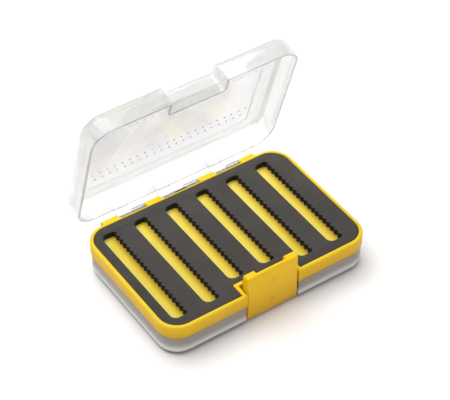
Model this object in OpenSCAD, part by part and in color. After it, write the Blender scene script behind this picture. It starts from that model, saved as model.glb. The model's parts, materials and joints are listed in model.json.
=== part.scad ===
// Double-sided fly box: a yellow centre frame with a slotted foam pad on each side, closed above and
// below by two clear lids that share one hinge pin, and held shut by one rocker latch.
// Millimetres. Origin: centre of the flat underside that the box stands on. +X runs along the hinge,
// +Y points from the latch to the hinge, +Z is up. The upper lid is drawn standing open.

/* [Centre frame] */
// Length of the frame, left to right
frame_l = 124; // [116:1:150]
// Width of the frame, front to back
frame_w = 84; // [78:1:100]
// Height of the frame's band
frame_h = 8.2; // [7.6:0.1:12]
// Wall of the rim
frame_wall = 2; // [1.6:0.1:2.6]
// Corner radius seen from above
frame_r = 12.5; // [8:0.5:16]
// Rounding of the band's outer edges
frame_edge = 1.2; // [0.4:0.1:1.6]
// Thickness of the web between the two foam beds
web_t = 0.6; // [0.5:0.1:1.2]

/* [Latch notch] */
// Width of the notch that holds the latch
notch_w = 31.3; // [28:0.1:36]
// Depth of the notch behind the frame's front
notch_d = 8.8; // [8.6:0.1:11]
// Wall round the notch
notch_wall = 1.9; // [1.4:0.1:2.2]
// Radius of the notch's inner corners
notch_r = 1; // [0.4:0.1:1.4]
// Radius of the notch wall's corners on the foam's side
notch_back_r = 0.4; // [0.3:0.1:2.4]
// Half length of the two rocker stops across the notch's middle
stop_half_l = 6; // [4:0.5:7]
// Thickness of a rocker stop
stop_t = 1; // [0.8:0.1:1.2]

/* [Lids] */
// Depth of one lid from rim to face
lid_h = 12.4; // [11.6:0.1:18]
// Thickness of the lid's walls
lid_wall = 1.5; // [1.2:0.1:1.8]
// Thickness of the lid's face
lid_face = 1.5; // [1.2:0.1:2]
// How far the lid's walls stand inside the frame's sides
lid_inset = 0.5; // [0.3:0.1:0.9]
// Rounding between the lid's walls and its face
lid_edge = 4; // [2.5:0.25:5]
// How far the upper lid stands open
upper_open = 73; // [0:1:180]

/* [Hinge] */
// Radius of a hinge knuckle
knuckle_r = 2.3; // [2:0.1:2.6]
// Length of a lid's knuckle
knuckle_l = 8.1; // [7:0.1:8.6]
// Length of a lug on the frame
lug_l = 9.2; // [8:0.1:9.6]
// Height of the web between a lug's barrel and the frame
lug_web = 2.6; // [2.2:0.1:3.6]
// End gap between neighbouring knuckles
knuckle_gap = 0.3; // [0.2:0.05:0.4]
// Bare stretch of pin in the middle of the hinge
bare_pin_l = 7.2; // [5:0.1:9]
// Height above the pin at which a hinge arm meets its lid's back wall
arm_rise = 10.5; // [9:0.25:12]
// Depth of the reliefs in the frame's back wall, behind the lids' knuckles
relief_d = 1.4; // [0.6:0.1:1.5]
// Diameter of the hinge pin
hinge_pin_d = 2; // [1.5:0.1:2.2]

/* [Latch] */
// Thickness of the latch's plate
latch_t = 2.6; // [2.2:0.1:3]
// Half height of the latch at its two ribs
latch_half_h = 14.3; // [13.6:0.1:15]
// Half height of the plate midway between the ribs
plate_half_h = 14.7; // [13.6:0.1:15]
// How far the plate's upper and lower edges curve in towards its ends
plate_curve = 0.7; // [0.3:0.1:1.5]
// Width of a rib
rib_w = 6.1; // [5:0.1:7]
// Depth of a rib, front to back
rib_d = 5; // [4.6:0.1:5.1]
// Rounding of the latch's edges
latch_r = 1; // [0.5:0.1:1]
// Bulge of the latch's front face between its middle and its ends
latch_bow = 0.8; // [0.3:0.1:1]
// Distance of the latch's pin behind the frame's front
latch_pin_in = 3.4; // [3.2:0.1:3.8]
// Radius of the barrel round the latch's pin
barrel_r = 2.2; // [1.8:0.1:2.4]
// Diameter of the latch's pin
latch_pin_d = 1.6; // [1.2:0.1:1.8]
// How far a hook reaches behind its rib
hook_reach = 1.5; // [1.5:0.1:1.8]
// Height of a hook
hook_h = 1.9; // [1.5:0.1:3]
// How far the latch rocks each way
rock_angle = 5; // [4.5:0.1:5.5]

/* [Catch on the lid] */
// Height of the catch's edge above the lid's rim
catch_rise = 3.9; // [3.4:0.1:4.4]
// How far a hook overlaps the catch
catch_bite = 0.6; // [0.4:0.05:0.7]

/* [Foam pads] */
// How far the foam lies below the rim
foam_drop = 0.25; // [0:0.05:0.5]
// Number of slots in a pad
slot_n = 6; // [3:1:6]
// Spacing of the slots
slot_pitch = 19; // [15:0.25:19.25]
// Width of a slot up to its teeth
slot_w = 7.5; // [5:0.1:8.5]
// Foam left of the first slot
slot_left = 5.15; // [3:0.05:7]
// Foam behind the slots
slot_back = 4.95; // [3:0.05:8]
// Foam in front of the long slots
slot_front = 5.45; // [4:0.05:9]
// Foam between a short slot and the latch's notch
slot_notch = 3.35; // [2.5:0.05:6]
// Radius of a slot's two corners on the plain side
slot_r = 3.5; // [1:0.1:4.5]
// Spacing of the teeth along a slot
tooth_pitch = 3.28; // [2.5:0.02:4]
// Depth of a tooth
tooth_d = 1.35; // [0.6:0.05:1.6]

/* [Clearances] */
// Radial running clearance round a pin
pin_clear = 0.05; // [0.03:0.01:0.09]
// Radial clearance of a pin in the frame, where it is held
pin_hold = 0.01; // [0.01:0.01:0.02]
// Gap between the latch and each side of its notch
latch_gap = 0.5; // [0.3:0.05:0.7]
// Spare room at a hook and a rocker stop when the latch is rocked fully
rock_spare = 0.05; // [0.03:0.01:0.1]
// Gap between a foam pad and the walls round it
foam_gap = 0.3; // [0.05:0.05:0.4]
// How much shorter a pin is than its hole at each end
pin_short = 0.3; // [0.1:0.1:0.6]

/* [Hidden] */

// Radius of an arc from half its chord and its rise
function arc_radius(half, rise) = (half * half + rise * rise) / (2 * rise);

// Facets of the circles: those of a smoothed body, and those of plain round work
smooth_fn = 32;
round_fn = 64;
// Steps in a quarter turn of a smoothed edge
edge_steps = 4;
// Overshoot of a cut past the surface it opens
over = 1;
// How deep a joined piece is sunk into its neighbour
sink = 0.4;
// Bevel on a pin's ends
pin_bevel = 0.2;
// Flat left at the tip of a hook and of the catch
hook_flat = 0.5;
// Least foam left between a full slot and a side of the latch's notch
notch_margin = 2;

// Height of the frame's mid-plane
mid_z = lid_h + frame_h / 2;
// Place of the hinge's axis, and how deep a lug's web is sunk into the wall that the reliefs leave
hinge_y = frame_w / 2 + knuckle_r;
lug_sink = (frame_wall - relief_d) / 2;
// Place of the latch's axis, and of its front face measured from that axis
latch_y = -frame_w / 2 + latch_pin_in;
latch_face = lid_inset - latch_pin_in;
latch_w = notch_w - 2 * latch_gap;
rib_back = latch_face + rib_d;
// Depth of the latch from its front face to its hooks' tips
plan_d = rib_d + hook_reach;
// Circle that bows the latch's front face
bow_r = arc_radius(latch_half_h, latch_bow);
// Circle that curves the plate's upper edge
curve_r = arc_radius(latch_w / 2, plate_curve);
// Hook's tip behind the axis, and a hook's underside above it: that side swings clear of the catch
hook_tip = rib_back + hook_reach;
hook_z = (frame_h / 2 + catch_rise + hook_tip * sin(rock_angle) + rock_spare) / cos(rock_angle);
// Edge of the catch, measured from the lid's front
catch_tip = plan_d - catch_bite;
// Foam pads
foam_l = frame_l - 2 * (frame_wall + foam_gap);
foam_w = frame_w - 2 * (frame_wall + foam_gap);
foam_r = frame_r - frame_wall - foam_gap;
foam_notch_half = notch_w / 2 + notch_wall + foam_gap;
foam_notch_back = -frame_w / 2 + notch_d + notch_wall + foam_gap;
bed_d = (frame_h - web_t) / 2;
// Lengths along the hinge, from its middle outwards
inner_lug_x = bare_pin_l / 2 + knuckle_l + knuckle_gap;
second_x = inner_lug_x + lug_l + knuckle_gap;
third_x = second_x + knuckle_l + knuckle_gap;
outer_lug_x = third_x + knuckle_l + knuckle_gap;
hinge_half_l = outer_lug_x + lug_l;
// Left ends of one lid's three knuckles
knuckle_starts = [-third_x - knuckle_l, -bare_pin_l / 2 - knuckle_l, second_x];
lug_starts = [-hinge_half_l, -inner_lug_x - lug_l, inner_lug_x, outer_lug_x];

yellow = [0.93, 0.72, 0.16];
clear = [0.86, 0.88, 0.88, 0.45];
foam_grey = [0.29, 0.28, 0.27];
steel = [0.72, 0.73, 0.75];

// ---------- shapes used more than once ----------

// Rectangle with round corners, centred
module rounded_rect(l, w, r) {
    square([l, w - 2 * r], center = true);
    square([l - 2 * r, w], center = true);
    for (sx = [-1, 1], sy = [-1, 1])
        translate([sx * (l / 2 - r), sy * (w / 2 - r)])
            circle(r);
}

// Outline of the latch's notch, grown by `grow` on its sides and back, open to the front
module notch_outline(grow, r) {
    half = notch_w / 2 + grow;
    back = -frame_w / 2 + notch_d + grow;
    translate([-half, -frame_w])
        square([2 * half, frame_w + back - r]);
    translate([-half + r, back - 2 * r])
        square([2 * (half - r), 2 * r]);
    for (side = [-1, 1])
        translate([side * (half - r), back - r])
            circle(r, $fn = round_fn);
}

// Flat-bottomed body whose walls round over into its top
module domed_body(l, w, h, r, edge) {
    hull()
        for (i = [0 : edge_steps]) {
            a = 90 * i / edge_steps;
            inset = edge * (1 - cos(a));
            linear_extrude(h - edge * (1 - sin(a)))
                rounded_rect(l - 2 * inset, w - 2 * inset, r - inset, $fn = smooth_fn);
        }
}

// Band whose upper and lower outer edges are rounded, centred on its mid-plane
module rounded_band(l, w, h, r, edge) {
    hull()
        for (i = [0 : edge_steps]) {
            a = 90 * i / edge_steps;
            inset = edge * (1 - cos(a));
            linear_extrude(h - 2 * edge * (1 - sin(a)), center = true)
                rounded_rect(l - 2 * inset, w - 2 * inset, r - inset, $fn = smooth_fn);
        }
}

// Extrusion along X of an outline drawn with Y across and Z up
module along_x(x, l) {
    translate([x, 0, 0])
        rotate([90, 0, 90])
            linear_extrude(l)
                children();
}

// Round bar along X, centred on its axis
module bar_x(x, l, r) {
    translate([x, 0, 0])
        rotate([0, 90, 0])
            cylinder(r = r, h = l, $fn = round_fn);
}

// Steel pin along X with bevelled ends
module pin(half_l, d) {
    bar_x(-half_l + pin_bevel, 2 * (half_l - pin_bevel), d / 2);
    for (side = [-1, 1])
        translate([side * (half_l - pin_bevel), 0, 0])
            rotate([0, side * 90, 0])
                cylinder(r1 = d / 2, r2 = d / 2 - pin_bevel, h = pin_bevel, $fn = round_fn);
}

// ---------- centre frame ----------

// Bed for the upper foam pad
module foam_bed() {
    l = frame_l - 2 * frame_wall;
    w = frame_w - 2 * frame_wall;
    translate([0, 0, web_t / 2])
        linear_extrude(bed_d + over)
            difference() {
                rounded_rect(l, w, frame_r - frame_wall, $fn = round_fn);
                notch_outline(notch_wall, notch_back_r);
            }
}

// Room in the frame's back wall for the knuckles of the lids
module knuckle_relief(x, l) {
    translate([x, frame_w / 2 - relief_d, -frame_h / 2 - over])
        cube([l, relief_d + over, frame_h + 2 * over]);
}

// Lug that carries the hinge pin
module hinge_lug(x) {
    along_x(x, lug_l) {
        translate([hinge_y, 0])
            circle(knuckle_r, $fn = round_fn);
        translate([frame_w / 2 - relief_d - lug_sink, -lug_web / 2])
            square([knuckle_r + relief_d + lug_sink, lug_web]);
    }
}

// Shelves that the latch's plate meets when it is rocked fully
module rocker_stop() {
    back = -frame_w / 2 + notch_d + sink;
    reach = stop_gap_at(frame_h / 2);
    front = -frame_w / 2 + lid_inset + latch_t + reach;
    translate([-stop_half_l, front, frame_h / 2 - stop_t])
        cube([2 * stop_half_l, back - front, stop_t]);
}

// Room behind the plate at height z from the axis
function stop_gap_at(z) = z * sin(rock_angle) + latch_t * (1 - cos(rock_angle)) + rock_spare;

module centre_frame() {
    color(yellow)
    translate([0, 0, mid_z])
    difference() {
        union() {
            difference() {
                rounded_band(frame_l, frame_w, frame_h, frame_r, frame_edge);
                translate([0, 0, -frame_h / 2 - over])
                    linear_extrude(frame_h + 2 * over)
                        notch_outline(0, notch_r);
                foam_bed();
                mirror([0, 0, 1])
                    foam_bed();
                knuckle_relief(-inner_lug_x + knuckle_gap / 2, 2 * inner_lug_x - knuckle_gap);
                for (x = [second_x - knuckle_gap / 2, -outer_lug_x + knuckle_gap / 2])
                    knuckle_relief(x, outer_lug_x - second_x);
            }
            for (x = lug_starts)
                hinge_lug(x);
            rocker_stop();
            mirror([0, 0, 1])
                rocker_stop();
        }
        translate([0, hinge_y, 0])
            bar_x(-hinge_half_l - over, 2 * (hinge_half_l + over), hinge_pin_d / 2 + pin_hold);
        translate([0, latch_y, 0])
            bar_x(-foam_notch_half, 2 * foam_notch_half, latch_pin_d / 2 + pin_hold);
    }
}

// ---------- foam pads ----------

// One slot: plain on its left, toothed on its right
module slot_outline(len) {
    teeth = floor(len / tooth_pitch);
    first = (len - teeth * tooth_pitch) / 2;
    translate([slot_r, 0])
        square([slot_w - slot_r, len]);
    translate([0, slot_r])
        square([slot_r, len - 2 * slot_r]);
    for (y = [slot_r, len - slot_r])
        translate([slot_r, y])
            circle(slot_r, $fn = round_fn);
    for (i = [0 : teeth - 1])
        translate([slot_w, first + i * tooth_pitch])
            polygon([
                [-sink, 0],
                [0, 0],
                [tooth_d, tooth_pitch / 2],
                [0, tooth_pitch],
                [-sink, tooth_pitch]
            ]);
}

// A slot that would run into the latch's notch is cut short of it
function slot_meets_notch(x) =
    x < foam_notch_half + notch_margin && x + slot_w + tooth_d > -foam_notch_half - notch_margin;
function slot_start(x) =
    slot_meets_notch(x) ? foam_notch_back + slot_notch : -foam_w / 2 + slot_front;

module foam_pad() {
    linear_extrude(bed_d - foam_drop)
        difference() {
            rounded_rect(foam_l, foam_w, foam_r, $fn = round_fn);
            notch_outline(notch_wall + foam_gap, notch_back_r + foam_gap);
            for (i = [0 : slot_n - 1]) {
                x = -foam_l / 2 + slot_left + i * slot_pitch;
                y = slot_start(x);
                translate([x, y])
                    slot_outline(foam_w / 2 - slot_back - y);
            }
        }
}

module upper_foam() {
    color(foam_grey)
    translate([0, 0, mid_z + web_t / 2])
        foam_pad();
}

module lower_foam() {
    color(foam_grey)
    translate([0, 0, mid_z - web_t / 2])
        rotate([0, 180, 0])
            foam_pad();
}

// ---------- lids ----------

// Side view of a hinge arm: the knuckle, and a gusset that runs up the lid's back wall
module arm_outline() {
    wall_y = frame_w / 2 - lid_inset;
    rim = frame_h / 2;
    out = hinge_y - wall_y;
    tangent = atan2(arm_rise, -out) - acos(knuckle_r / norm([out, arm_rise]));
    translate([hinge_y, 0])
        circle(knuckle_r, $fn = round_fn);
    polygon([
        [wall_y, arm_rise],
        [wall_y - sink, arm_rise],
        [wall_y - sink, rim],
        [hinge_y - knuckle_r, rim],
        [hinge_y - knuckle_r, 0],
        [hinge_y, 0],
        [hinge_y + knuckle_r * cos(tangent), knuckle_r * sin(tangent)]
    ]);
}

// Ledge across the recess that the latch's hooks hold
module catch_ledge() {
    front = -frame_w / 2 + lid_inset;
    back = front + notch_d;
    half = notch_w / 2 + lid_inset + sink;
    along_x(-half, 2 * half)
        polygon([
            [front + catch_tip, catch_rise],
            [back + sink, catch_rise],
            [back + sink, hook_flat / 2],
            [back, hook_flat / 2],
            [front + catch_tip, catch_rise - hook_flat]
        ]);
}

// One lid: rim at z = 0, face up, hinge arms to the back
module lid_blank() {
    l = frame_l - 2 * lid_inset;
    w = frame_w - 2 * lid_inset;
    r = frame_r - lid_inset;
    difference() {
        union() {
            difference() {
                domed_body(l, w, lid_h, r, lid_edge);
                difference() {
                    translate([0, 0, -over])
                        domed_body(l - 2 * lid_wall, w - 2 * lid_wall, lid_h - lid_face + over,
                                   r - lid_wall, lid_edge - lid_wall);
                    translate([0, 0, -2 * over])
                        linear_extrude(lid_h + 3 * over)
                            notch_outline(lid_inset + lid_wall, notch_r + lid_inset + lid_wall);
                }
                translate([0, 0, -2 * over])
                    linear_extrude(lid_h + 3 * over)
                        notch_outline(lid_inset, notch_r + lid_inset);
            }
            catch_ledge();
            translate([0, 0, -frame_h / 2])
                for (x = knuckle_starts)
                    along_x(x, knuckle_l)
                        arm_outline();
        }
        translate([0, hinge_y, -frame_h / 2])
            bar_x(-hinge_half_l, 2 * hinge_half_l, hinge_pin_d / 2 + pin_clear);
    }
}

module upper_lid() {
    color(clear)
    translate([0, hinge_y, mid_z])
        rotate([-upper_open, 0, 0])
            translate([0, -hinge_y, frame_h / 2])
                lid_blank();
}

module lower_lid() {
    color(clear)
    translate([0, 0, lid_h])
        rotate([0, 180, 0])
            lid_blank();
}

// ---------- pins ----------

module hinge_pin() {
    color(steel)
    translate([0, hinge_y, mid_z])
        pin(hinge_half_l - pin_short, hinge_pin_d);
}

module latch_pin() {
    color(steel)
    translate([0, latch_y, mid_z])
        pin(notch_w / 2 + notch_wall - pin_short, latch_pin_d);
}

// ---------- latch ----------

// Side view of a bar of thickness t with rounded ends, from the latch's front face backwards
module upright_outline(t, half_h) {
    translate([latch_face + t / 2, 0])
        rounded_rect(t, 2 * half_h, latch_r, $fn = round_fn);
}

// Disc that leaves the plate's upper (end = 1) or lower (end = -1) edge arched
module edge_arc(end) {
    translate([0, latch_face + latch_t / 2, end * (plate_half_h - curve_r)])
        rotate([90, 0, 0])
            cylinder(r = curve_r, h = latch_t + 2 * over, center = true, $fn = 16 * round_fn);
}

// Plate whose upper and lower edges are slightly arched
module latch_plate() {
    intersection() {
        along_x(-latch_w / 2 + sink, latch_w - 2 * sink)
            upright_outline(latch_t, plate_half_h);
        edge_arc(1);
        edge_arc(-1);
    }
}

// Side view of the hook behind the upper end of a rib
module hook_outline() {
    polygon([
        [rib_back - sink, hook_z],
        [rib_back + hook_reach, hook_z],
        [rib_back + hook_reach, hook_z + hook_flat],
        [rib_back, hook_z + hook_h],
        [rib_back - sink, hook_z + hook_h]
    ]);
}

module latch() {
    color(yellow)
    translate([0, latch_y, mid_z])
    difference() {
        intersection() {
            union() {
                latch_plate();
                for (x = [-latch_w / 2, latch_w / 2 - rib_w])
                    along_x(x, rib_w) {
                        upright_outline(rib_d, latch_half_h);
                        hook_outline();
                        mirror([0, 1])
                            hook_outline();
                    }
                bar_x(-latch_w / 2, latch_w, barrel_r);
            }
            translate([0, latch_face + bow_r, 0])
                rotate([0, 90, 0])
                    cylinder(r = bow_r, h = latch_w + 2 * over, center = true, $fn = 8 * round_fn);
            translate([0, latch_face + plan_d / 2, 0])
                linear_extrude(2 * (plate_half_h + over), center = true)
                    rounded_rect(latch_w, plan_d, latch_r, $fn = round_fn);
        }
        bar_x(-latch_w / 2 - over, latch_w + 2 * over, latch_pin_d / 2 + pin_clear);
    }
}

centre_frame();
upper_foam();
lower_foam();
upper_lid();
lower_lid();
hinge_pin();
latch();
latch_pin();
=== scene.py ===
"""A double-sided fly box on a pale floor.

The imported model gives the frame: every piece is in metres, in its own place, and rides on its body.
"""

import json
import logging
import math
from dataclasses import dataclass
from enum import Enum, IntEnum

import bmesh
import bpy
from mathutils import Matrix, Vector


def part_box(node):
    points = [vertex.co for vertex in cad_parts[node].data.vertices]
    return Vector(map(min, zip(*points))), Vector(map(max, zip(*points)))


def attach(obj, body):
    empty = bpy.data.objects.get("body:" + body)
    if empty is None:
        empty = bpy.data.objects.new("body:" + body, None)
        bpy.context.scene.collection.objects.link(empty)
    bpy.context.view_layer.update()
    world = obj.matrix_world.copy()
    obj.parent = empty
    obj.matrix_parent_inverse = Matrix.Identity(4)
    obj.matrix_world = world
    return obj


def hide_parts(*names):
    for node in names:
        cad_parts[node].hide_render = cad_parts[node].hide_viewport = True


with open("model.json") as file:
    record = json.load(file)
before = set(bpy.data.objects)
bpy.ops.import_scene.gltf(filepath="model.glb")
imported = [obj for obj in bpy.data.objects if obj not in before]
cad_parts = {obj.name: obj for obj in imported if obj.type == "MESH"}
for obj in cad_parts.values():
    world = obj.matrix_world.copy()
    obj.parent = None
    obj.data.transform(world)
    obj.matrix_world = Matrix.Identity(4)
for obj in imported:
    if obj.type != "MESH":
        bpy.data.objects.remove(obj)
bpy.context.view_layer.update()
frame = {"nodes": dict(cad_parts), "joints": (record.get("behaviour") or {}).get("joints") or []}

Colour = tuple[float, float, float]
Socket = bpy.types.NodeSocket
Material = bpy.types.Material

LOG = logging.getLogger("fly_box")
MM = 0.001
# The part of a noise value that is used: nearly all of it lies between these
NOISE_LOW, NOISE_HIGH = 0.3, 0.7
# Corners closer than this are one, and edges shorter than this are dropped
WELD, SPECK = 0.002 * MM, 0.001 * MM
# Angles in degrees: up to which faces merge as flat, and over which edges get rounded
FLAT_WITHIN, ROUND_OVER = 0.2, 38.0
# Angles in degrees under which faces shade as one, without and with rounding
SMOOTH_UNDER, ROUNDED_SMOOTH_UNDER = 34.0, 42.0


class Body(Enum):
    """The rigid bodies that pieces ride on."""

    FRAME = "frame"
    UPPER_LID = "upper_lid"
    LOWER_LID = "lower_lid"
    LATCH = "latch"


class Slot(Enum):
    """The record's material slots that the dressed pieces belong to."""

    YELLOW = "yellow_plastic"
    CLEAR = "clear_plastic"
    FOAM = "grey_foam"


class FrameFace(IntEnum):
    """The kinds of face on the centre frame, in the order of its materials."""

    TOP = 0
    WEB = 1
    SIDE = 2
    GROOVE = 3
    WEB_UNDER = 4


class FoamFace(IntEnum):
    """The kinds of face on a foam pad, in the order of its materials."""

    SKIN = 0
    CUT = 1


class LidFace(IntEnum):
    """The kinds of face on a lid, in the order of its materials."""

    WALL = 0
    RIM = 1
    PANEL = 2
    HINGE = 3
    EDGE = 4


# ---------------------------------------------------------------- finishes


class Shader:
    """A material's node tree, with short calls for its nodes and links."""

    def __init__(self, name: str) -> None:
        """Starts a tree that holds a Principled shader and its output.

        Args:
            name: The material's name.
        """
        self.material = bpy.data.materials.new(name)
        self.material.use_nodes = True
        self.tree = self.material.node_tree
        self.tree.nodes.clear()
        output = self.tree.nodes.new("ShaderNodeOutputMaterial")
        self.surface = self.tree.nodes.new("ShaderNodeBsdfPrincipled")
        self.link(self.surface.outputs[0], output.inputs["Surface"])

    def link(self, source: Socket, target: Socket) -> None:
        """Joins two sockets."""
        self.tree.links.new(source, target)

    def feed(self, **sources: Socket) -> None:
        """Links sockets to the Principled shader by name, with underscores for spaces."""
        for key, source in sources.items():
            self.link(source, self.surface.inputs[key.replace("_", " ")])

    def set(self, **values: float | tuple[float, ...]) -> None:
        """Sets sockets of the Principled shader by name, with underscores for spaces."""
        for key, value in values.items():
            self.surface.inputs[key.replace("_", " ")].default_value = value

    def object_space(self) -> Socket:
        """The piece's own coordinates, in metres."""
        return self.tree.nodes.new("ShaderNodeTexCoord").outputs["Object"]

    def along(self, axis: str) -> Socket:
        """A point's place along one axis of the piece.

        Args:
            axis: X, Y or Z.

        Returns:
            A value socket, in metres.
        """
        split = self.tree.nodes.new("ShaderNodeSeparateXYZ")
        self.link(self.object_space(), split.inputs[0])
        return split.outputs[axis]

    def maths(self, how: str, *values: Socket | float) -> Socket:
        """A maths node.

        Args:
            how: The node's operation.
            values: The node's inputs, in order.

        Returns:
            The result's value socket.
        """
        node = self.tree.nodes.new("ShaderNodeMath")
        node.operation = how
        for socket, value in zip(node.inputs, values):
            if isinstance(value, Socket):
                self.link(value, socket)
            else:
                socket.default_value = value
        return node.outputs[0]

    def mapped(
        self,
        value: Socket,
        source: tuple[float, float],
        target: tuple[float, float] = (0.0, 1.0),
        soft: bool = False,
    ) -> Socket:
        """Maps a value from one range to another, and clamps it to the second.

        Args:
            value: The value socket.
            source: The values that give the two ends.
            target: The two ends.
            soft: Whether the change starts and stops gently.

        Returns:
            The mapped value socket.
        """
        node = self.tree.nodes.new("ShaderNodeMapRange")
        node.interpolation_type = "SMOOTHSTEP" if soft else "LINEAR"
        names = ("From Min", "From Max", "To Min", "To Max")
        for name, number in zip(names, (*source, *target)):
            node.inputs[name].default_value = number
        self.link(value, node.inputs["Value"])
        return node.outputs["Result"]

    def spread(self, noise: Socket, low: float = 0.0, high: float = 1.0) -> Socket:
        """Maps the used part of a noise value to a range."""
        return self.mapped(noise, (NOISE_LOW, NOISE_HIGH), (low, high))

    def noise(
        self,
        scale: float,
        detail: float = 3.0,
        roughness: float = 0.5,
        where: Socket | None = None,
    ) -> Socket:
        """A noise value over the piece.

        Args:
            scale: Repeats per metre.
            detail: Octaves of finer noise.
            roughness: Strength of the finer octaves.
            where: Coordinates, if not the piece's own.

        Returns:
            The noise's value socket.
        """
        node = self.tree.nodes.new("ShaderNodeTexNoise")
        node.inputs["Scale"].default_value = scale
        node.inputs["Detail"].default_value = detail
        node.inputs["Roughness"].default_value = roughness
        self.link(where or self.object_space(), node.inputs["Vector"])
        return node.outputs["Fac"]

    def ramp(self, value: Socket, stops: list[tuple[float, Colour]]) -> Socket:
        """Turns a value into a colour.

        Args:
            value: The value socket.
            stops: Positions and colours, in order.

        Returns:
            The colour socket.
        """
        node = self.tree.nodes.new("ShaderNodeValToRGB")
        elements = node.color_ramp.elements
        while len(elements) < len(stops):
            elements.new(0.5)
        for element, (place, colour) in zip(elements, stops):
            element.position = place
            element.color = (*colour, 1.0)
        self.link(value, node.inputs["Fac"])
        return node.outputs["Color"]

    def blotch(self, noise: Socket, dark: Colour, light: Colour) -> Socket:
        """Goes from a dark to a light colour over the used part of a noise value."""
        return self.ramp(noise, [(NOISE_LOW, dark), (NOISE_HIGH, light)])

    def spot(self, x: float, z: float, radius: float, core: float = 0.1) -> Socket:
        """A soft round spot, seen from the front.

        Args:
            x: Place along the hinge, in metres.
            z: Height, in metres.
            radius: Where the spot has faded out, in metres.
            core: Share of the radius inside which the spot is full.

        Returns:
            A value socket: 1 in the middle, 0 outside.
        """
        flat = self.tree.nodes.new("ShaderNodeVectorMath")
        flat.operation = "MULTIPLY"
        flat.inputs[1].default_value = (1.0, 0.0, 1.0)
        self.link(self.object_space(), flat.inputs[0])
        far = self.tree.nodes.new("ShaderNodeVectorMath")
        far.operation = "DISTANCE"
        far.inputs[1].default_value = (x, 0.0, z)
        self.link(flat.outputs["Vector"], far.inputs[0])
        return self.mapped(far.outputs["Value"], (radius, radius * core), soft=True)

    def toned(self, colour: Socket, mask: Socket, tone: Colour) -> Socket:
        """Multiplies a colour by a tone where a mask is 1.

        Args:
            colour: The colour socket.
            mask: The value socket that says where.
            tone: What the colour is multiplied by.

        Returns:
            The toned colour socket.
        """
        node = self.tree.nodes.new("ShaderNodeMix")
        node.data_type = "RGBA"
        node.blend_type = "MULTIPLY"
        # A mix node's factor and its two colours, whose names aren't unique in the node
        factor, first, second = (node.inputs[number] for number in (0, 6, 7))
        self.link(mask, factor)
        self.link(colour, first)
        second.default_value = (*tone, 1.0)
        return node.outputs[2]

    def relief(self, *heights: tuple[Socket, float]) -> None:
        """Stacks fine bumps on the surface.

        Args:
            heights: Value sockets, each with its height in metres.
        """
        normal = None
        for value, height in heights:
            node = self.tree.nodes.new("ShaderNodeBump")
            node.inputs["Strength"].default_value = 1.0
            node.inputs["Distance"].default_value = height
            self.link(value, node.inputs["Height"])
            if normal is not None:
                self.link(normal, node.inputs["Normal"])
            normal = node.outputs["Normal"]
        if normal is not None:
            self.feed(Normal=normal)


@dataclass(frozen=True)
class Sink:
    """A faint sink mark shown as painted shade, a darker round spot: place along the hinge, height
    and radius, in metres.
    """

    x: float
    z: float
    radius: float


@dataclass(frozen=True)
class Shade:
    """Painted shade near the ground: full below one height and gone above another."""

    full_below: float
    none_above: float
    tone: Colour


@dataclass(frozen=True)
class MouldedPlastic:
    """Opaque moulded plastic with a soft sheen, faint flow marks and, if asked, painted shade at sink
    marks and near the ground.
    """

    name: str
    dark: Colour
    light: Colour
    gloss: tuple[float, float] = (0.36, 0.48)
    sinks: tuple[Sink, ...] = ()
    sink_shade_tone: Colour = (0.90, 0.84, 0.8)
    shade: Shade | None = None
    flow_scale: float = 55.0
    grain_scale: float = 2600.0
    grain: float = 0.012 * MM
    swell_scale: float = 240.0
    swell: float = 0.036 * MM
    ior: float = 1.46
    specular: float = 0.25

    def build(self) -> Material:
        """Makes the material.

        Returns:
            The material.
        """
        shader = Shader(self.name)
        flow = shader.noise(self.flow_scale, detail=4.0, roughness=0.6)
        grain = shader.noise(self.grain_scale, detail=2.0)
        swell = shader.noise(self.swell_scale, detail=2.0)
        colour = shader.blotch(flow, self.dark, self.light)
        # Painted shade of sink marks: soft darker round spots
        for sink in self.sinks:
            spot = shader.spot(sink.x, sink.z, sink.radius)
            colour = shader.toned(colour, spot, self.sink_shade_tone)
        # Painted shade: darker towards the ground
        if self.shade:
            limits = (self.shade.none_above, self.shade.full_below)
            colour = shader.toned(colour, shader.mapped(shader.along("Z"), limits), self.shade.tone)
        shader.feed(Base_Color=colour, Roughness=shader.spread(grain, *self.gloss))
        shader.set(IOR=self.ior, Specular_IOR_Level=self.specular)
        shader.relief((grain, self.grain), (swell, self.swell))
        return shader.material


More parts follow.
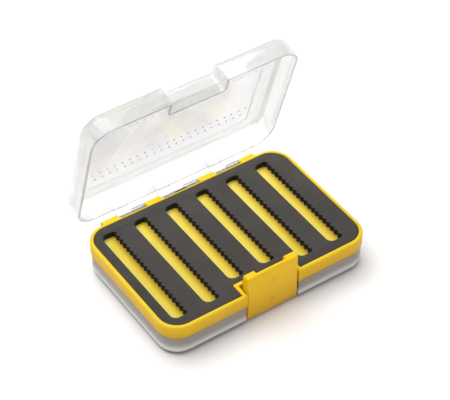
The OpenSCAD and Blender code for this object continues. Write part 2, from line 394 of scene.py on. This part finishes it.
@dataclass(frozen=True)
class ThinWeb:
    """The thin web under the foam, with painted light where light comes through it and painted shade
    beside each slot's teeth.
    """

    name: str
    # Whether the slots are counted from the other end, as under the box
    turned: bool
    # Where the first slot's painted light and shade start, under the foam, and how far the next ones
    # are
    first_slot: float = -55.3 * MM
    slot_pitch: float = 19.0 * MM
    # Painted light and shade across a slot, from its pale plain side to beyond its teeth
    light_and_shade_tones: tuple[tuple[float, Colour], ...] = (
        (1.75 * MM, (0.78, 0.68, 0.16)),
        (5.35 * MM, (0.75, 0.60, 0.060)),
        (7.15 * MM, (0.62, 0.42, 0.025)),
        (9.35 * MM, (0.38, 0.24, 0.040)),
    )
    flow_tone: Colour = (0.94, 0.93, 0.88)
    gloss: tuple[float, float] = (0.36, 0.48)
    flow_scale: float = 55.0
    grain_scale: float = 2600.0
    grain: float = 0.012 * MM
    ior: float = 1.46
    specular: float = 0.25

    def build(self) -> Material:
        """Makes the material.

        Returns:
            The material.
        """
        shader = Shader(self.name)
        way = -1.0 if self.turned else 1.0
        # Painted light and shade: the colour repeats across each slot, pale on its plain side and
        # darker beyond its teeth
        along = shader.maths("MULTIPLY_ADD", shader.along("X"), way, -self.first_slot)
        in_slot = shader.maths("FLOORED_MODULO", along, self.slot_pitch)
        share = shader.maths("DIVIDE", in_slot, self.slot_pitch)
        colour = shader.ramp(share, [(at / self.slot_pitch, tone) for at, tone in self.light_and_shade_tones])
        flow = shader.noise(self.flow_scale, detail=4.0, roughness=0.6)
        grain = shader.noise(self.grain_scale, detail=2.0)
        colour = shader.toned(colour, shader.spread(flow), self.flow_tone)
        shader.feed(Base_Color=colour, Roughness=shader.spread(grain, *self.gloss))
        shader.set(IOR=self.ior, Specular_IOR_Level=self.specular)
        shader.relief((grain, self.grain))
        return shader.material


@dataclass(frozen=True)
class ClearPlastic:
    """Clear moulded plastic with a faint milky sheen and, if asked, painted light and shade by
    height.
    """

    name: str
    tint: Colour
    gloss: tuple[float, float]
    clearness: float
    alpha: float
    wave: float = 0.03 * MM
    painted_bands: tuple[tuple[float, Colour], ...] = ()
    flow_scale: float = 35.0
    wave_scale: float = 90.0
    ior: float = 1.5

    def build(self) -> Material:
        """Makes the material.

        Returns:
            The material.
        """
        shader = Shader(self.name)
        shader.feed(Roughness=shader.spread(shader.noise(self.flow_scale), *self.gloss))
        shader.set(Base_Color=(*self.tint, 1.0), IOR=self.ior)
        shader.set(Transmission_Weight=self.clearness, Alpha=self.alpha)
        # Painted light and shade: the base colour changes with height
        if self.painted_bands:
            top = self.painted_bands[-1][0]
            share = shader.mapped(shader.along("Z"), (0.0, top))
            stops = [(height / top, tone) for height, tone in self.painted_bands]
            shader.feed(Base_Color=shader.ramp(share, stops))
        shader.relief((shader.noise(self.wave_scale, detail=2.0), self.wave))
        return shader.material


@dataclass(frozen=True)
class ClosedFoam:
    """Closed-cell foam: cells and a soft cloudiness on a dull surface."""

    name: str
    dark: Colour
    light: Colour
    cell_scale: float
    cell_depth: float
    cell_share: float = 0.75
    cloud_scale: float = 60.0
    dent_scale: float = 380.0
    dent_share: float = 1.5
    dark_at: float = 0.36
    light_at: float = 0.64

    def build(self) -> Material:
        """Makes the material.

        Returns:
            The material.
        """
        shader = Shader(self.name)
        cells = shader.noise(self.cell_scale, detail=4.0, roughness=0.7)
        cell_part = shader.maths("MULTIPLY", cells, self.cell_share)
        cloud = shader.noise(self.cloud_scale)
        both = shader.maths("MULTIPLY_ADD", cloud, 1.0 - self.cell_share, cell_part)
        stops = [(self.dark_at, self.dark), (self.light_at, self.light)]
        shader.feed(Base_Color=shader.ramp(both, stops))
        shader.set(Roughness=0.88, Specular_IOR_Level=0.25, Sheen_Weight=0.15, Sheen_Roughness=0.5)
        dents = shader.noise(self.dent_scale)
        shader.relief((cells, self.cell_depth), (dents, self.cell_depth * self.dent_share))
        return shader.material


@dataclass(frozen=True)
class DrawnSteel:
    """Plain drawn steel wire, brushed along its length."""

    name: str
    colour: Colour
    gloss: float
    dark_share: float = 0.8
    # Repeats per metre along the wire and across it
    stretch: tuple[float, float, float] = (60.0, 9000.0, 9000.0)
    grain: float = 0.004 * MM

    def build(self) -> Material:
        """Makes the material.

        Returns:
            The material.
        """
        shader = Shader(self.name)
        along = shader.tree.nodes.new("ShaderNodeMapping")
        along.inputs["Scale"].default_value = self.stretch
        shader.link(shader.object_space(), along.inputs["Vector"])
        drawn = shader.noise(1.0, detail=2.0, where=along.outputs[0])
        dark = tuple(value * self.dark_share for value in self.colour)
        shader.feed(Base_Color=shader.blotch(drawn, dark, self.colour))
        shader.set(Metallic=1.0, Roughness=self.gloss)
        shader.relief((drawn, self.grain))
        return shader.material


@dataclass(frozen=True)
class MatteFloor:
    """The plain pale ground."""

    name: str
    colour: Colour
    roughness: float = 0.9
    specular: float = 0.1

    def build(self) -> Material:
        """Makes the material.

        Returns:
            The material.
        """
        shader = Shader(self.name)
        shader.set(Base_Color=(*self.colour, 1.0), Roughness=self.roughness)
        shader.set(Specular_IOR_Level=self.specular)
        return shader.material


class Palette:
    """Every finish of the box, made once."""

    yellow: Material
    yellow_side_shaded: Material
    shaded_groove: Material
    latch: Material
    web: Material
    web_under: Material
    clear: Material
    clear_base_light_and_shade: Material
    clear_face_shaded: Material
    clear_rim_shaded: Material
    clear_edge_shaded: Material
    etched: Material
    scribed: Material
    foam_skin: Material
    foam_cut_and_shade: Material
    steel: Material
    floor: Material

    # Painted shade: where the yellow mouldings are darker near the ground
    side_shade: Shade = Shade(12.4 * MM, 19.6 * MM, (0.80, 0.74, 1.0))
    latch_shade: Shade = Shade(2.0 * MM, 26.0 * MM, (0.78, 0.70, 1.0))
    # Painted shade of two shallow sink marks on the latch's front, as darker round spots
    latch_sinks: tuple[Sink, ...] = (
        Sink(0.3 * MM, 22.8 * MM, 3.0 * MM),
        Sink(0.0, 9.8 * MM, 3.6 * MM),
    )
    # Painted light and shade on the lower lid by height: painted shadow at the foot, a painted
    # highlight on a ridge, painted shade under the frame
    base_light_and_shade: tuple[tuple[float, Colour], ...] = (
        (0.0 * MM, (0.09, 0.08, 0.07)),
        (1.1 * MM, (0.17, 0.155, 0.145)),
        (2.3 * MM, (0.50, 0.47, 0.45)),
        (3.5 * MM, (0.96, 0.94, 0.92)),
        (4.7 * MM, (0.90, 0.87, 0.85)),
        (6.6 * MM, (0.50, 0.47, 0.44)),
        (8.6 * MM, (0.38, 0.35, 0.32)),
        (11.0 * MM, (0.40, 0.36, 0.31)),
        (12.4 * MM, (0.46, 0.36, 0.20)),
    )

    def __init__(self) -> None:
        """Makes the materials."""
        self.mouldings()
        self.clear_plastics()
        self.marks()
        self.foam_skin = ClosedFoam(
            "foam_skin", (0.034, 0.030, 0.027), (0.066, 0.059, 0.053), 2200.0, 0.04 * MM
        ).build()
        # The cut sides, near black: partly the cut foam's own look and partly painted shade in the
        # slots
        self.foam_cut_and_shade = ClosedFoam(
            "foam_cut_and_shade", (0.003, 0.003, 0.002), (0.010, 0.009, 0.008), 1900.0, 0.09 * MM
        ).build()
        self.steel = DrawnSteel("drawn_steel", (0.16, 0.15, 0.155), 0.32).build()
        self.floor = MatteFloor("pale_floor", (0.90, 0.90, 0.90)).build()

    def mouldings(self) -> None:
        """The yellow plastics of the frame, its thin web and the latch, with painted shade on the
        sides, in the groove and near the ground, and painted light and shade on the web.
        """
        self.yellow = MouldedPlastic(
            "yellow_moulding", dark=(0.74, 0.525, 0.012), light=(0.80, 0.575, 0.020)
        ).build()
        # A copy of the yellow moulding with painted shade: the sides darker and more orange than the
        # tops, and darker still near the ground
        self.yellow_side_shaded = MouldedPlastic(
            "yellow_side_shaded",
            dark=(0.76, 0.465, 0.004),
            light=(0.82, 0.515, 0.006),
            shade=self.side_shade,
        ).build()
        # Painted shade in the hinge lugs' groove: a darker, more orange copy of the yellow
        self.shaded_groove = MouldedPlastic(
            "yellow_groove_shaded", dark=(0.58, 0.29, 0.002), light=(0.64, 0.34, 0.003), gloss=(0.40, 0.52)
        ).build()
        self.latch = MouldedPlastic(
            "latch_moulding",
            dark=(0.86, 0.52, 0.002),
            light=(0.91, 0.57, 0.004),
            gloss=(0.34, 0.46),
            sinks=self.latch_sinks,
            shade=self.latch_shade,
        ).build()
        self.web = ThinWeb("thin_web", turned=False).build()
        self.web_under = ThinWeb("thin_web_under", turned=True).build()

    def clear_plastics(self) -> None:
        """The clear plastics of the lids: walls, panel, rim and the edge round the panel; the lower
        walls carry painted light and shade, and the panel, rim and edge are greyer copies with
        painted shade.
        """
        self.clear = ClearPlastic(
            "clear_moulding", (0.95, 0.97, 0.985), gloss=(0.03, 0.08), clearness=0.80, alpha=0.52
        ).build()
        # The lower lid's walls: a milkier copy of the clear plastic with painted light, and painted
        # shadow, highlight and shade by height
        self.clear_base_light_and_shade = ClearPlastic(
            "clear_base_light_and_shade",
            (0.9, 0.9, 0.9),
            gloss=(0.10, 0.18),
            clearness=0.25,
            alpha=0.92,
            wave=0.02 * MM,
            painted_bands=self.base_light_and_shade,
        ).build()
        # Greyer copies of the clear plastic with painted shade: the panel, the rim and the edge round
        # the panel
        self.clear_face_shaded = ClearPlastic(
            "clear_face_shaded", (0.74, 0.76, 0.785), gloss=(0.05, 0.10), clearness=0.85, alpha=0.48
        ).build()
        self.clear_rim_shaded = ClearPlastic(
            "clear_rim_shaded", (0.46, 0.49, 0.47), gloss=(0.10, 0.16), clearness=0.35, alpha=0.72
        ).build()
        self.clear_edge_shaded = ClearPlastic(
            "clear_edge_shaded", (0.56, 0.59, 0.55), gloss=(0.06, 0.12), clearness=0.55, alpha=0.62
        ).build()

    def marks(self) -> None:
        """The dull greys of the marks and the line on a lid."""
        self.etched = MouldedPlastic(
            "etched_mark", dark=(0.34, 0.34, 0.34), light=(0.42, 0.42, 0.42), gloss=(0.5, 0.7)
        ).build()
        self.scribed = MouldedPlastic(
            "scribed_line", dark=(0.62, 0.63, 0.63), light=(0.70, 0.71, 0.71), gloss=(0.5, 0.7)
        ).build()


# ---------------------------------------------------------------- mesh helpers


def welded(node: bpy.types.Object) -> bmesh.types.BMesh:
    """The CAD node's solid as joined faces, with flat areas merged.

    Args:
        node: The CAD node's object.

    Returns:
        A new bmesh, which the caller frees.
    """
    bm = bmesh.new()
    bm.from_mesh(node.data)
    bmesh.ops.remove_doubles(bm, verts=bm.verts, dist=WELD)
    bmesh.ops.dissolve_degenerate(bm, edges=bm.edges, dist=SPECK)
    flat = math.radians(FLAT_WITHIN)
    bmesh.ops.dissolve_limit(bm, angle_limit=flat, verts=bm.verts, edges=bm.edges)
    return bm


def smoothed(mesh: bpy.types.Mesh, under: float) -> None:
    """Shades faces as one where they meet at less than an angle in degrees."""
    mesh.shade_smooth()
    mesh.set_sharp_from_angle(angle=math.radians(under))


def piece_from(bm: bmesh.types.BMesh, name: str) -> bpy.types.Object:
    """Makes a scene object of a bmesh, smooth except at its edges.

    Args:
        bm: The shape; it is freed.
        name: The object's name.

    Returns:
        The object, at the origin.
    """
    mesh = bpy.data.meshes.new(name)
    bm.to_mesh(mesh)
    bm.free()
    smoothed(mesh, SMOOTH_UNDER)
    piece = bpy.data.objects.new(name, mesh)
    bpy.context.scene.collection.objects.link(piece)
    return piece


def baked(piece: bpy.types.Object, smooth_under: float = SMOOTH_UNDER) -> bpy.types.Object:
    """Turns a piece's modifiers into a plain mesh.

    Args:
        piece: The object with live modifiers.
        smooth_under: Angle in degrees under which faces shade as one.

    Returns:
        The same object, with the result as its mesh and no modifier.
    """
    graph = bpy.context.evaluated_depsgraph_get()
    mesh = bpy.data.meshes.new_from_object(piece.evaluated_get(graph), depsgraph=graph)
    piece.modifiers.clear()
    old, piece.data = piece.data, mesh
    bpy.data.meshes.remove(old)
    mesh.name = piece.name
    smoothed(mesh, smooth_under)
    return piece


def softened(
    node: bpy.types.Object, name: str, edge: float, segments: int = 2
) -> bpy.types.Object:
    """A copy of a CAD node with its sharp edges rounded as a moulding's are.

    Args:
        node: The CAD node's object.
        name: The new piece's name.
        edge: Width of the rounding, in metres.
        segments: Steps across the rounding.

    Returns:
        The rounded piece.
    """
    piece = piece_from(welded(node), name)
    bevel = piece.modifiers.new("rounding", "BEVEL")
    bevel.width = edge
    bevel.segments = segments
    bevel.limit_method = "ANGLE"
    bevel.angle_limit = math.radians(ROUND_OVER)
    bevel.use_clamp_overlap = True
    even = piece.modifiers.new("even_shading", "WEIGHTED_NORMAL")
    even.keep_sharp = True
    even.weight = 100
    return baked(piece, ROUNDED_SMOOTH_UNDER)


def dress(piece: bpy.types.Object, *materials: Material) -> None:
    """Gives a piece its materials.

    Args:
        piece: The piece or CAD node.
        materials: Its materials, in slot order.
    """
    piece.data.materials.clear()
    for material in materials:
        piece.data.materials.append(material)
    LOG.info("%s is dressed in %s", piece.name, ", ".join(m.name for m in materials))


def settle(piece: bpy.types.Object, body: Body, slot: Slot, *stands_for: str) -> None:
    """Fixes a finished piece to its body.

    Args:
        piece: The finished piece.
        body: The body that it rides on.
        slot: The record's material slot that it belongs to; not used.
        stands_for: CAD nodes that it replaces.
    """
    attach(piece, body.value)
    if stands_for:
        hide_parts(*stands_for)
    LOG.info("%s rides on %s: %d faces", piece.name, body.value, len(piece.data.polygons))


# ---------------------------------------------------------------- geometry nodes


class Tree:
    """A Geometry Nodes tree with named inputs."""

    def __init__(self, name: str) -> None:
        """Starts a tree with one geometry output.

        Args:
            name: The tree's name.
        """
        self.group = bpy.data.node_groups.new(name, "GeometryNodeTree")
        self.group.interface.new_socket(
            "Geometry", in_out="OUTPUT", socket_type="NodeSocketGeometry"
        )
        self.entry = self.group.nodes.new("NodeGroupInput")
        self.exit = self.group.nodes.new("NodeGroupOutput")

    def inputs(self, kind: str, *names: str) -> tuple[Socket, ...]:
        """Adds named inputs of one socket type.

        Args:
            kind: The socket type, without its NodeSocket prefix.
            names: The inputs' names.

        Returns:
            Their sockets inside the tree.
        """
        for name in names:
            self.group.interface.new_socket(name, in_out="INPUT", socket_type=f"NodeSocket{kind}")
        return tuple(self.entry.outputs[name] for name in names)

    def fill(self, socket: Socket, value: Socket | float | int) -> None:
        """Links a socket to another, or sets it to a value.

        Args:
            socket: The input socket.
            value: The other socket, or the value.
        """
        if isinstance(value, Socket):
            self.group.links.new(value, socket)
        else:
            socket.default_value = value

    def node(self, kind: str, **values: Socket | float | int) -> bpy.types.Node:
        """Adds a node and fills its inputs.

        Args:
            kind: The node's type.
            values: Input names, with underscores for spaces, and their sockets or values.

        Returns:
            The new node.
        """
        made = self.group.nodes.new(kind)
        for key, value in values.items():
            self.fill(made.inputs[key.replace("_", " ")], value)
        return made

    def maths(self, how: str, *values: Socket | float) -> Socket:
        """Adds a maths node.

        Args:
            how: The node's operation.
            values: The node's inputs, in order.

        Returns:
            The result's value socket.
        """
        made = self.group.nodes.new("ShaderNodeMath")
        made.operation = how
        for socket, value in zip(made.inputs, values):
            self.fill(socket, value)
        return made.outputs[0]

    def finish(self, geometry: Socket, material: Socket) -> None:
        """Ends the tree in real geometry with its material.

        Args:
            geometry: The shape's socket.
            material: The material's socket.
        """
        real = self.node("GeometryNodeRealizeInstances", Geometry=geometry)
        dressed = self.node(
            "GeometryNodeSetMaterial", Geometry=real.outputs[0], Material=material
        )
        self.group.links.new(dressed.outputs[0], self.exit.inputs[0])

    def run(self, name: str, values: dict[str, float | int | Material]) -> bpy.types.Object:
        """Makes a piece with this tree.

        Args:
            name: The piece's name.
            values: Input names and their values.

        Returns:
            A plain mesh piece, with no modifier left.
        """
        piece = bpy.data.objects.new(name, bpy.data.meshes.new(name))
        bpy.context.scene.collection.objects.link(piece)
        modifier = piece.modifiers.new("made", "NODES")
        modifier.node_group = self.group
        for item in self.group.interface.items_tree:
            if item.in_out == "INPUT" and item.name in values:
                modifier[item.identifier] = values[item.name]
        return baked(piece)


def mark_row() -> Tree:
    """The tree for a row of small round marks along the hinge's direction.

    Returns:
        A tree with inputs Count, Pitch, Middle, Row, Level, Radius, Depth and Finish.
    """
    tree = Tree("mark_row")
    (count,) = tree.inputs("Int", "Count")
    pitch, middle, row = tree.inputs("Float", "Pitch", "Middle", "Row")
    level, radius, depth = tree.inputs("Float", "Level", "Radius", "Depth")
    (finish,) = tree.inputs("Material", "Finish")
    steps = tree.maths("SUBTRACT", count, 1.0)
    half = tree.maths("MULTIPLY", tree.maths("MULTIPLY", steps, pitch), 0.5)
    first = tree.maths("SUBTRACT", middle, half)
    start = tree.node("ShaderNodeCombineXYZ", X=first, Y=row, Z=level).outputs[0]
    step = tree.node("ShaderNodeCombineXYZ", X=pitch).outputs[0]
    line = tree.node("GeometryNodeMeshLine", Count=count, Start_Location=start, Offset=step)
    disc = tree.node("GeometryNodeMeshCylinder", Vertices=12, Radius=radius, Depth=depth)
    marks = tree.node(
        "GeometryNodeInstanceOnPoints", Points=line.outputs[0], Instance=disc.outputs["Mesh"]
    )
    tree.finish(marks.outputs[0], finish)
    return tree


def panel_line(corner_steps: int = 6) -> Tree:
    """The tree for a thin rectangular line with round corners.

    Args:
        corner_steps: Corners of the line in each round corner.

    Returns:
        A tree with inputs Length, Width, Corner, Level, Line, Depth and Finish.
    """
    tree = Tree("panel_line")
    length, width, corner = tree.inputs("Float", "Length", "Width", "Corner")
    level, line, depth = tree.inputs("Float", "Level", "Line", "Depth")
    (finish,) = tree.inputs("Material", "Finish")
    shape = tree.node("GeometryNodeCurvePrimitiveQuadrilateral", Width=length, Height=width)
    rounded = tree.node("GeometryNodeFilletCurve", Curve=shape.outputs[0], Radius=corner)
    rounded.mode = "POLY"
    count = next(socket for socket in rounded.inputs if socket.type == "INT")
    count.default_value = corner_steps
    profile = tree.node("GeometryNodeCurvePrimitiveQuadrilateral", Width=line, Height=depth)
    swept = tree.node(
        "GeometryNodeCurveToMesh", Curve=rounded.outputs[0], Profile_Curve=profile.outputs[0]
    )
    lift = tree.node("ShaderNodeCombineXYZ", Z=level)
    placed = tree.node(
        "GeometryNodeTransform", Geometry=swept.outputs[0], Translation=lift.outputs[0]
    )
    tree.finish(placed.outputs[0], finish)
    return tree


# ---------------------------------------------------------------- sub-assemblies


@dataclass
class CentreFrame:
    """The yellow frame between the lids, with its hinge lugs and web."""

    palette: Palette
    edge: float = 0.25 * MM
    # Height of the zone in which the web's faces lie
    web_zone: float = 1.0 * MM
    # Where the hinge lugs dip between the rim and the pin; this groove gets painted shade
    shaded_groove: tuple[float, float] = (42.1 * MM, 43.15 * MM)
    # How much a face looks up or down: more in the groove and on the web, less on the sides
    groove_over: float = 0.6
    web_over: float = 0.9
    side_under: float = 0.5

    def build(self) -> None:
        """Makes the moulding with soft edges; its sides and groove carry painted shade, and its thin
        web painted light and shade.
        """
        piece = softened(frame["nodes"]["centre_frame"], "frame_moulding", self.edge)
        finishes = self.palette
        dress(
            piece,
            finishes.yellow,
            finishes.web,
            finishes.yellow_side_shaded,
            finishes.shaded_groove,
            finishes.web_under,
        )
        low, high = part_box("centre_frame")
        middle = (low[2] + high[2]) / 2
        # Painted shade on the sides and groove, and painted light and shade on the web, go by each
        # face's kind
        for face in piece.data.polygons:
            face.material_index = self.kind(face, middle)
        settle(piece, Body.FRAME, Slot.YELLOW, "centre_frame")

    def kind(self, face: bpy.types.MeshPolygon, middle: float) -> FrameFace:
        """Says which kind a face is.

        Args:
            face: A face of the rounded moulding.
            middle: Height of the frame's middle, in metres.

        Returns:
            The face's kind.
        """
        place, flatness = face.center, abs(face.normal.z)
        if self.shaded_groove[0] < place.y < self.shaded_groove[1] and flatness > self.groove_over:
            return FrameFace.GROOVE
        if flatness < self.side_under:
            return FrameFace.SIDE
        if abs(place.z - middle) < self.web_zone / 2 and flatness > self.web_over:
            return FrameFace.WEB if face.normal.z > 0.0 else FrameFace.WEB_UNDER
        return FrameFace.TOP


@dataclass
class FoamPad:
    """One slotted foam pad."""

    palette: Palette
    node: str
    edge: float = 0.22 * MM
    # A face that looks up or down less than this is a cut
    cut_under: float = 0.35

    def build(self) -> None:
        """Makes the pad: soft skin edges, and darker, rougher foam where it is cut, the darkness
        partly painted shade in the slots.
        """
        piece = softened(frame["nodes"][self.node], f"{self.node}_pad", self.edge)
        dress(piece, self.palette.foam_skin, self.palette.foam_cut_and_shade)
        for face in piece.data.polygons:
            # Cut sides get the near-black finish, partly painted shade in the slots
            cut = abs(face.normal.z) < self.cut_under
            face.material_index = FoamFace.CUT if cut else FoamFace.SKIN
        settle(piece, Body.FRAME, Slot.FOAM, self.node)


@dataclass(frozen=True)
class MarkRow:
    """A row of marks: place towards the hinge, middle along it, in metres, and their number."""

    place: float
    middle: float
    count: int


@dataclass
class Lid:
    """One clear lid with its panel line and rows of small marks."""

    palette: Palette
    node: str
    body: Body
    placement: Matrix
    walls: Material
    throws_shadow: bool = False
    # Whether the edge round the panel gets the painted grey shade
    shaded_edge: bool = True
    edge: float = 0.3 * MM
    depth: float = 12.4 * MM
    thickness: float = 1.5 * MM
    # Two rows near the hinge, and a far one that shows just below the open lid's rim
    rows: tuple[MarkRow, ...] = (
        MarkRow(16.5 * MM, -0.75 * MM, 22),
        MarkRow(21.3 * MM, -0.95 * MM, 21),
        MarkRow(-17.1 * MM, 0.95 * MM, 21),
    )
    mark_pitch: float = 4.5 * MM
    mark_radius: float = 0.42 * MM
    mark_depth: float = 0.3 * MM
    # How far the marks stand proud of the inner face, and the line lies under the outer face
    skin: float = 0.05 * MM
    panel_l: float = 101.6 * MM
    panel_w: float = 63.0 * MM
    panel_corner: float = 3.0 * MM
    line: float = 0.28 * MM
    # How far a face may be from the rim's or the panel's plane to count as on it
    reach: float = 0.2 * MM
    # The hinge's side starts here, and the edge round the panel is this wide
    rim_to: float = 38.0 * MM
    fillet: float = 2.5 * MM
    # How much a face looks towards the panel's side: rim, panel, and between which the edge is
    rim_under: float = -0.7
    panel_over: float = 0.98
    edge_between: tuple[float, float] = (0.2, 0.9)

    def build(self) -> None:
        """Makes the shell, the marks and the line."""
        self.shell()
        self.marks()
        self.border()

    def shell(self) -> None:
        """The clear moulding; an open lid lets all light through."""
        piece = softened(frame["nodes"][self.node], f"{self.node}_moulding", self.edge)
        finishes = self.palette
        dress(
            piece,
            self.walls,
            finishes.clear_rim_shaded,
            finishes.clear_face_shaded,
            finishes.clear,
            finishes.clear_edge_shaded,
        )
        to_flat = self.placement.inverted()
        turn = to_flat.to_3x3()
        # Painted shade: rim, panel and edge faces get greyer copies of the clear plastic
        for face in piece.data.polygons:
            face.material_index = self.kind(to_flat @ face.center, (turn @ face.normal).z)
        piece.visible_shadow = self.throws_shadow
        settle(piece, self.body, Slot.CLEAR, self.node)

    def kind(self, place: Vector, slope: float) -> LidFace:
        """Says which kind a face is, with the lid laid rim down.

        Args:
            place: The face's middle on the flat lid.
            slope: How much the face looks up there.

        Returns:
            The face's kind.
        """
        height, off_hinge = place.z, place.y < self.rim_to
        if abs(height) < self.reach and slope < self.rim_under:
            return LidFace.RIM if off_hinge else LidFace.HINGE
        if height > self.depth - self.thickness - self.reach and abs(slope) > self.panel_over:
            return LidFace.PANEL
        if height < -self.reach:
            return LidFace.HINGE
        on_edge = self.edge_between[0] < slope < self.edge_between[1]
        if self.shaded_edge and on_edge and off_hinge and height > self.depth - self.fillet:
            return LidFace.EDGE
        return LidFace.WALL

    def marks(self) -> None:
        """Three rows of marks, sunk in the inner face and just proud of it."""
        tree = mark_row()
        for number, row in enumerate(self.rows, start=1):
            piece = tree.run(
                f"{self.node}_marks_{number}",
                {
                    "Count": row.count,
                    "Pitch": self.mark_pitch,
                    "Middle": row.middle,
                    "Row": row.place,
                    "Level": self.depth - self.thickness - self.skin + self.mark_depth / 2,
                    "Radius": self.mark_radius,
                    "Depth": self.mark_depth,
                    "Finish": self.palette.etched,
                },
            )
            self.place(piece)

    def border(self) -> None:
        """The thin line round the panel, just under the outer face."""
        piece = panel_line().run(
            f"{self.node}_panel_line",
            {
                "Length": self.panel_l,
                "Width": self.panel_w,
                "Corner": self.panel_corner,
                "Level": self.depth - self.skin - self.line / 2,
                "Line": self.line,
                "Depth": self.line,
                "Finish": self.palette.scribed,
            },
        )
        self.place(piece)

    def place(self, piece: bpy.types.Object) -> None:
        """Puts a mark made on the flat lid where the lid is, and fixes it there.

        Args:
            piece: The mark's piece.
        """
        piece.data.transform(self.placement)
        piece.visible_shadow = False
        settle(piece, self.body, Slot.CLEAR)


@dataclass
class Latch:
    """The rocker latch and its pin."""

    palette: Palette
    edge: float = 0.3 * MM

    def build(self) -> None:
        """Makes the rocker with soft edges and dresses its pin."""
        piece = softened(frame["nodes"]["latch"], "latch_moulding", self.edge)
        dress(piece, self.palette.latch)
        settle(piece, Body.LATCH, Slot.YELLOW, "latch")
        dress(frame["nodes"]["latch_pin"], self.palette.steel)


@dataclass
class HingePin:
    """The steel pin that both lids turn on."""

    palette: Palette

    def build(self) -> None:
        """Dresses the pin."""
        dress(frame["nodes"]["hinge_pin"], self.palette.steel)


# ---------------------------------------------------------------- studio


@dataclass
class Studio:
    """Pale floor, even sky, one wide key light and the camera."""

    palette: Palette
    camera_at: tuple[float, float, float] = (-0.357485, -0.520598, 0.646703)
    # The camera's angles in degrees, and its lens and film in millimetres
    azimuth: float = -34.397
    elevation: float = 43.618
    roll: float = 0.196
    lens: float = 138.88
    film: float = 36.0
    clip: tuple[float, float] = (0.01, 50.0)
    floor_size: float = 6.0
    floor_drop: float = 0.05 * MM
    sky_colour: Colour = (1.0, 0.965, 0.95)
    sky_strength: float = 0.55
    # The key light: where it is from the box, its width in degrees, and watts per square metre
    key_towards: tuple[float, float, float] = (-0.12, 0.30, 1.0)
    key_spread: float = 55.0
    key_strength: float = 2.3

    def build(self) -> None:
        """Makes the floor, the lights and the camera."""
        self.floor()
        self.sky()
        self.key()
        self.camera()
        bpy.context.scene.view_settings.view_transform = "Standard"

    def floor(self) -> None:
        """A large flat ground under the box."""
        bm = bmesh.new()
        bmesh.ops.create_grid(bm, x_segments=1, y_segments=1, size=self.floor_size / 2)
        ground = piece_from(bm, "ground")
        ground.data.transform(Matrix.Translation((0.0, 0.0, -self.floor_drop)))
        dress(ground, self.palette.floor)

    def sky(self) -> None:
        """Even, slightly warm light from all round."""
        world = bpy.data.worlds.new("studio")
        world.use_nodes = True
        background = world.node_tree.nodes["Background"]
        background.inputs["Color"].default_value = (*self.sky_colour, 1.0)
        background.inputs["Strength"].default_value = self.sky_strength
        bpy.context.scene.world = world

    def key(self) -> None:
        """A wide far light, even over the whole floor."""
        towards = Vector(self.key_towards)
        light = bpy.data.lights.new("key", "SUN")
        light.angle = math.radians(self.key_spread)
        light.energy = self.key_strength
        lamp = bpy.data.objects.new("key", light)
        lamp.location = towards
        lamp.rotation_mode = "QUATERNION"
        lamp.rotation_quaternion = (-towards).to_track_quat("-Z", "Y")
        bpy.context.scene.collection.objects.link(lamp)

    def camera(self) -> None:
        """The camera at the photograph's angle."""
        turn, rise = math.radians(self.azimuth), math.radians(self.elevation)
        back = Vector(
            (
                math.sin(turn) * math.cos(rise),
                -math.cos(turn) * math.cos(rise),
                math.sin(rise),
            )
        )
        right = (-back).cross(Vector((0.0, 0.0, 1.0))).normalized()
        up = right.cross(-back)
        roll = math.radians(self.roll)
        across = right * math.cos(roll) + up * math.sin(roll)
        upright = -right * math.sin(roll) + up * math.cos(roll)
        data = bpy.data.cameras.new("camera")
        data.sensor_width = self.film
        data.lens = self.lens
        data.dof.use_dof = False
        data.clip_start, data.clip_end = self.clip
        eye = bpy.data.objects.new("camera", data)
        facing = Matrix((across, upright, back)).transposed().to_4x4()
        eye.matrix_world = Matrix.Translation(self.camera_at) @ facing
        bpy.context.scene.collection.objects.link(eye)
        bpy.context.scene.camera = eye


def lid_placements() -> tuple[Matrix, Matrix]:
    """Where the two lids are, from a lid that lies rim down at the origin with its face up.

    Returns:
        The placements of the upper and the lower lid.
    """
    hinge = {joint["name"]: joint for joint in frame["joints"]}["upper_lid_hinge"]
    axis = Vector(hinge["pos_m"])
    low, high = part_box("centre_frame")
    open_by = math.radians(hinge["range_deg"][0])
    upper = (
        Matrix.Translation(axis)
        @ Matrix.Rotation(open_by, 4, "X")
        @ Matrix.Translation(Vector((0.0, 0.0, high[2])) - axis)
    )
    lower = Matrix.Translation((0.0, 0.0, low[2])) @ Matrix.Rotation(math.pi, 4, "Y")
    return upper, lower


def main() -> None:
    """Builds the studio, and then the box in order."""
    logging.basicConfig(level=logging.INFO, format="%(name)s: %(message)s")
    palette = Palette()
    upper, lower = lid_placements()
    Studio(palette).build()
    CentreFrame(palette).build()
    FoamPad(palette, "upper_foam").build()
    FoamPad(palette, "lower_foam").build()
    Lid(palette, "upper_lid", Body.UPPER_LID, upper, palette.clear).build()
    Lid(
        palette,
        "lower_lid",
        Body.LOWER_LID,
        lower,
        palette.clear_base_light_and_shade,
        throws_shadow=True,
        shaded_edge=False,
    ).build()
    Latch(palette).build()
    HingePin(palette).build()


if __name__ == "__main__":
    main()
